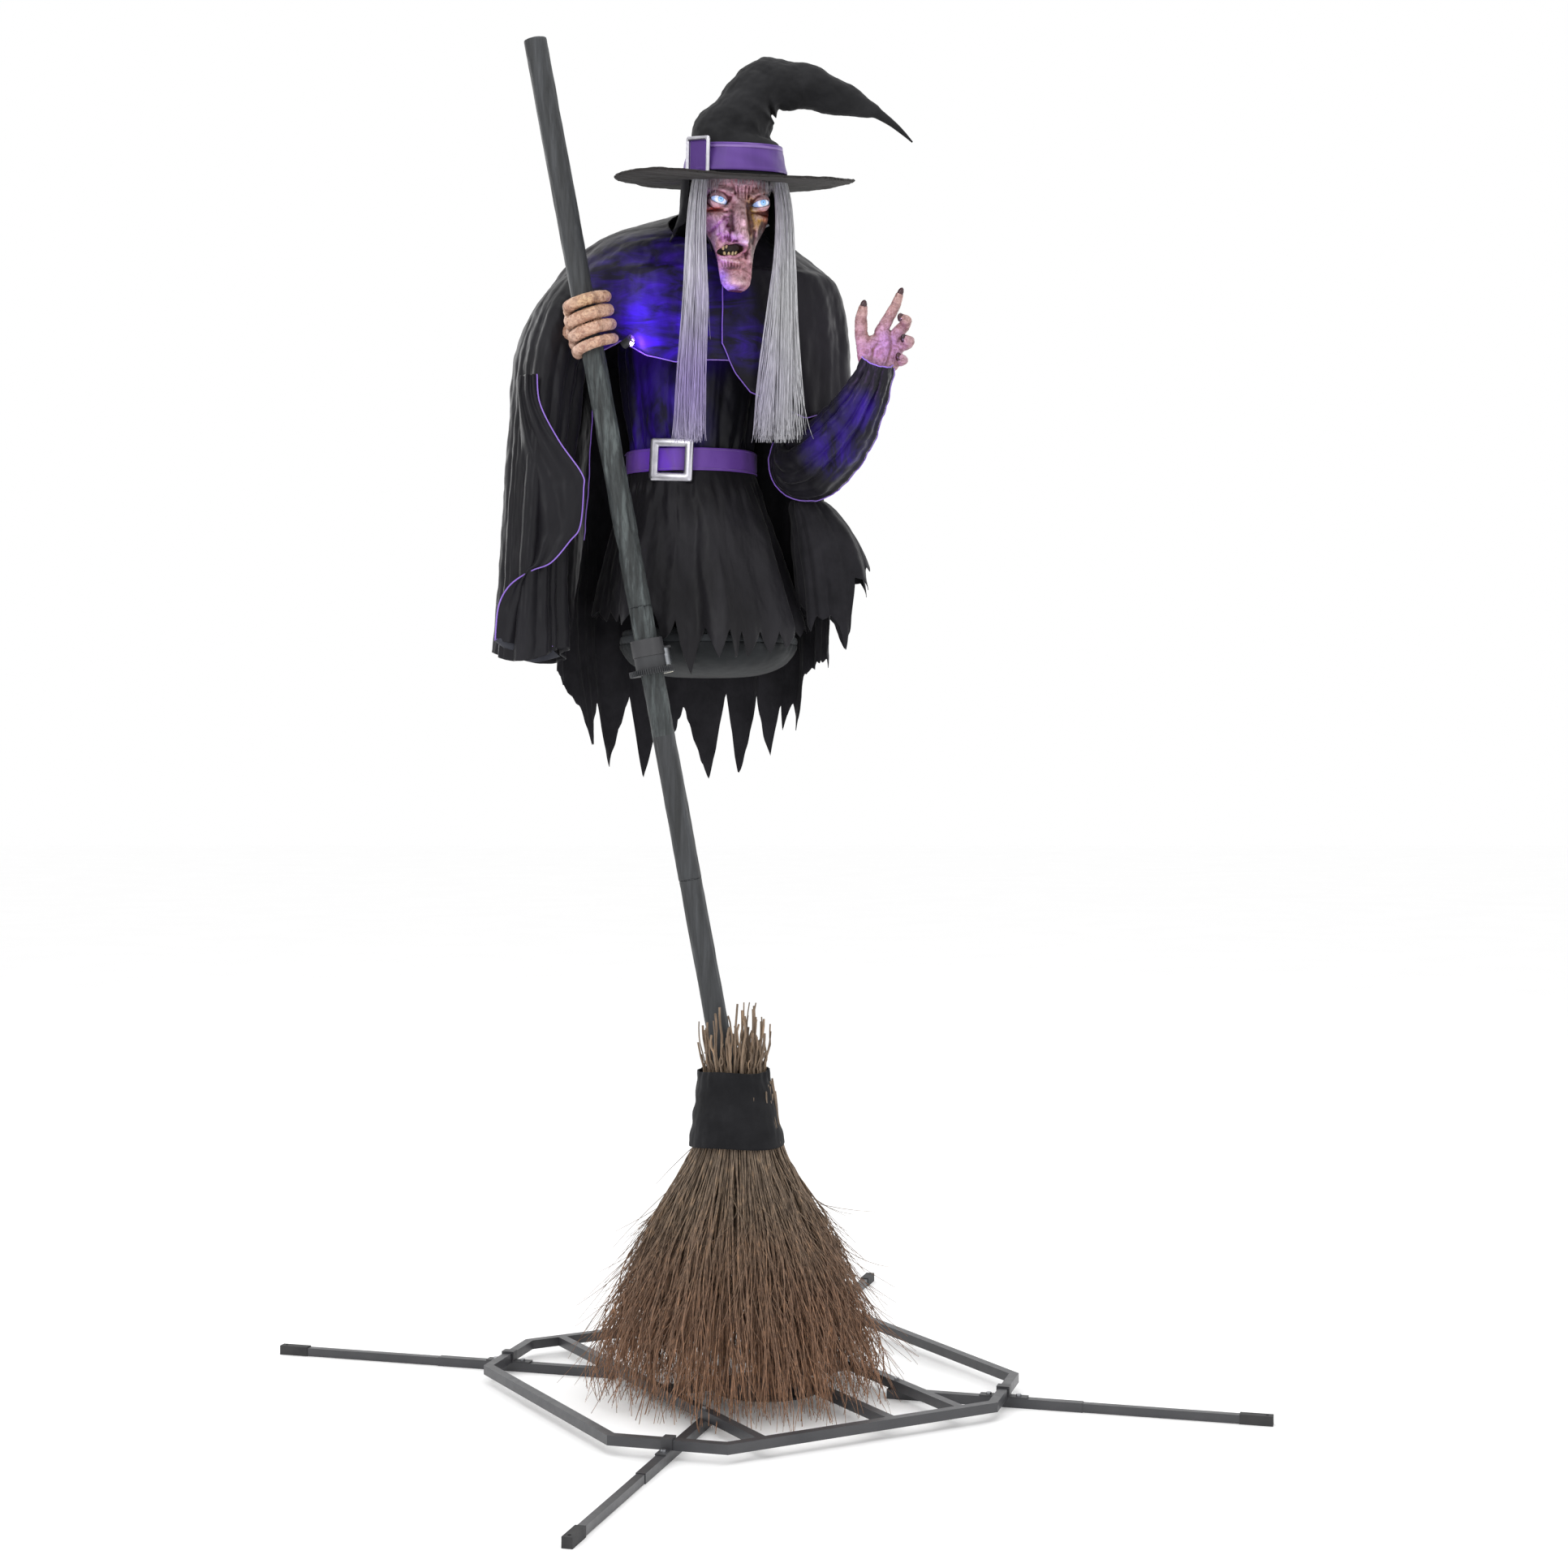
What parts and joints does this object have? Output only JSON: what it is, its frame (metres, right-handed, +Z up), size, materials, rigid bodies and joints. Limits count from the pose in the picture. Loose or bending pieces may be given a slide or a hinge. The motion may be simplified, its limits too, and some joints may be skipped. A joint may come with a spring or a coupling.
{
  "type": "animated witch figure",
  "caption": "Tall animated witch in a pointed hat and black robes that hovers beside a leaning broomstick on a steel floor frame.",
  "frame": {"origin": "centre of the floor frame, on the floor", "axes": "+Z up, the figure's face looks towards -Y, +X is the figure's left"},
  "size_m": [2.7038, 2.7038, 3.6563],
  "materials": {
    "frame_paint": "semi-gloss black powder coat",
    "bracket_paint": "satin black powder coat",
    "zinc": "zinc plated",
    "pole_steel": "drawn steel tube",
    "handle_wood_look": "charcoal wood-look shell with bark grain",
    "twigs": "brown moulded twigs",
    "binding_cloth": "black wrapped cloth band",
    "gear_plastic": "natural acetal gear",
    "motor_can": "plated motor can",
    "board": "plywood",
    "case_plastic": "textured black case",
    "switch_red": "red",
    "shoe_rubber": "moulded foot",
    "black_satin": "black satin cloth",
    "black_cloth": "dull black cloth",
    "purple_cloth": "purple satin",
    "buckle_silver": "silver plastic",
    "hat_felt": "stiff dark grey cloth",
    "skin": "painted latex-look skin",
    "hand_skin": "painted latex-look skin",
    "eye_glow": "lit from inside",
    "hair_fibre": "grey synthetic fibre"
  },
  "bodies": {
    "base": {"frame_tubes": "frame_paint", "floor_rails": "frame_paint", "leg_sockets": "frame_paint", "leg_extensions": "frame_paint", "leg_shoes": "shoe_rubber", "saddle_clamps": "bracket_paint", "base_bolts": "zinc", "ground_plate": "bracket_paint", "pole_socket": "bracket_paint", "socket_bolt": "zinc", "pole_lower": "pole_steel", "pole_middle": "pole_steel", "pole_upper": "pole_steel", "pole_top": "pole_steel", "handle_shell_1": "handle_wood_look", "handle_shell_2": "handle_wood_look", "handle_shell_3": "handle_wood_look", "handle_shell_4": "handle_wood_look", "twig_bundle": "twigs", "broom_binding": "binding_cloth", "sway_gear": "case_plastic"},
    "snap_button_1": {"snap_button_1": "zinc"},
    "snap_button_2": {"snap_button_2": "zinc"},
    "snap_button_3": {"snap_button_3": "zinc"},
    "figure": {"sway_motor": "motor_can", "seat_bracket": "bracket_paint", "seat_plate": "board", "seat_pan": "black_cloth", "spine_frame": "zinc", "costume_hoops": "zinc", "arm_frame": "zinc", "control_box": "case_plastic", "speaker": "case_plastic", "spotlight": "case_plastic", "bodice": "black_satin", "belt": "purple_cloth", "belt_buckle": "buckle_silver", "skirt": "black_cloth", "back_skirt": "black_cloth", "hip_drape": "black_cloth", "cape": "black_satin", "sleeve_right": "black_satin", "sleeve_left": "black_satin", "right_hand": "hand_skin", "neck_gear": "gear_plastic"},
    "sway_pinion": {"sway_pinion": "gear_plastic"},
    "battery_door": {"battery_door": "case_plastic"},
    "power_switch": {"power_switch": "switch_red"},
    "forearm": {"forearm_frame": "zinc", "left_cuff": "black_satin", "left_hand": "hand_skin"},
    "head": {"head_shell": "skin", "eyes": "eye_glow", "head_drive": "motor_can", "hat": "hat_felt", "hat_band": "purple_cloth", "hood": "black_cloth", "hair": "hair_fibre"},
    "head_pinion": {"head_pinion": "gear_plastic"},
    "jaw": {"jaw": "skin"}
  },
  "joints": [
    {"name": "figure_sway", "type": "hinge", "parent": "base", "child": "figure", "pos_m": [-0.27204, 0, 1.98656], "axis": [-0.1812, 0, 0.9834], "range_deg": [-8, 8]},
    {"name": "sway_pinion_turn", "type": "hinge", "parent": "figure", "child": "sway_pinion", "pos_m": [-0.2261, 0.06495, 1.94418], "axis": [-0.1812, 0, 0.9834], "range_deg": [-40, 40]},
    {"name": "head_turn", "type": "hinge", "parent": "figure", "child": "head", "pos_m": [-0.042, 0.1, 3.29], "axis": [0.0689, -0.1564, 0.9853], "range_deg": [-20, 20]},
    {"name": "head_pinion_turn", "type": "hinge", "parent": "head", "child": "head_pinion", "pos_m": [-0.05572, 0.08559, 3.0938], "axis": [0.0689, -0.1564, 0.9853], "range_deg": [-100, 100]},
    {"name": "jaw_open", "type": "hinge", "parent": "head", "child": "jaw", "pos_m": [-0.04702, 0.10101, 3.15857], "axis": [0.978, 0.2054, -0.0358], "range_deg": [-4, 7]},
    {"name": "forearm_wave", "type": "hinge", "parent": "figure", "child": "forearm", "pos_m": [0.218, 0.335, 2.632], "axis": [1, 0, 0], "range_deg": [-10, 10]},
    {"name": "battery_door_slide", "type": "slide", "parent": "figure", "child": "battery_door", "axis": [0, 0, -1], "range_m": [0, 0.045]},
    {"name": "power_switch_slide", "type": "slide", "parent": "figure", "child": "power_switch", "axis": [1, 0, 0], "range_m": [0, 0.007]},
    {"name": "snap_button_1_press", "type": "slide", "parent": "base", "child": "snap_button_1", "axis": [0, -1, 0], "range_m": [0, 0.005], "stiffness_N_per_m": 1200},
    {"name": "snap_button_2_press", "type": "slide", "parent": "base", "child": "snap_button_2", "axis": [0, -1, 0], "range_m": [0, 0.005], "stiffness_N_per_m": 1200},
    {"name": "snap_button_3_press", "type": "slide", "parent": "base", "child": "snap_button_3", "axis": [0, -1, 0], "range_m": [0, 0.005], "stiffness_N_per_m": 1200}
  ],
  "couplings": [
    {"joint": "sway_pinion_turn", "follows": "figure_sway", "ratio": 4},
    {"joint": "head_pinion_turn", "follows": "head_turn", "ratio": 4}
  ]
}
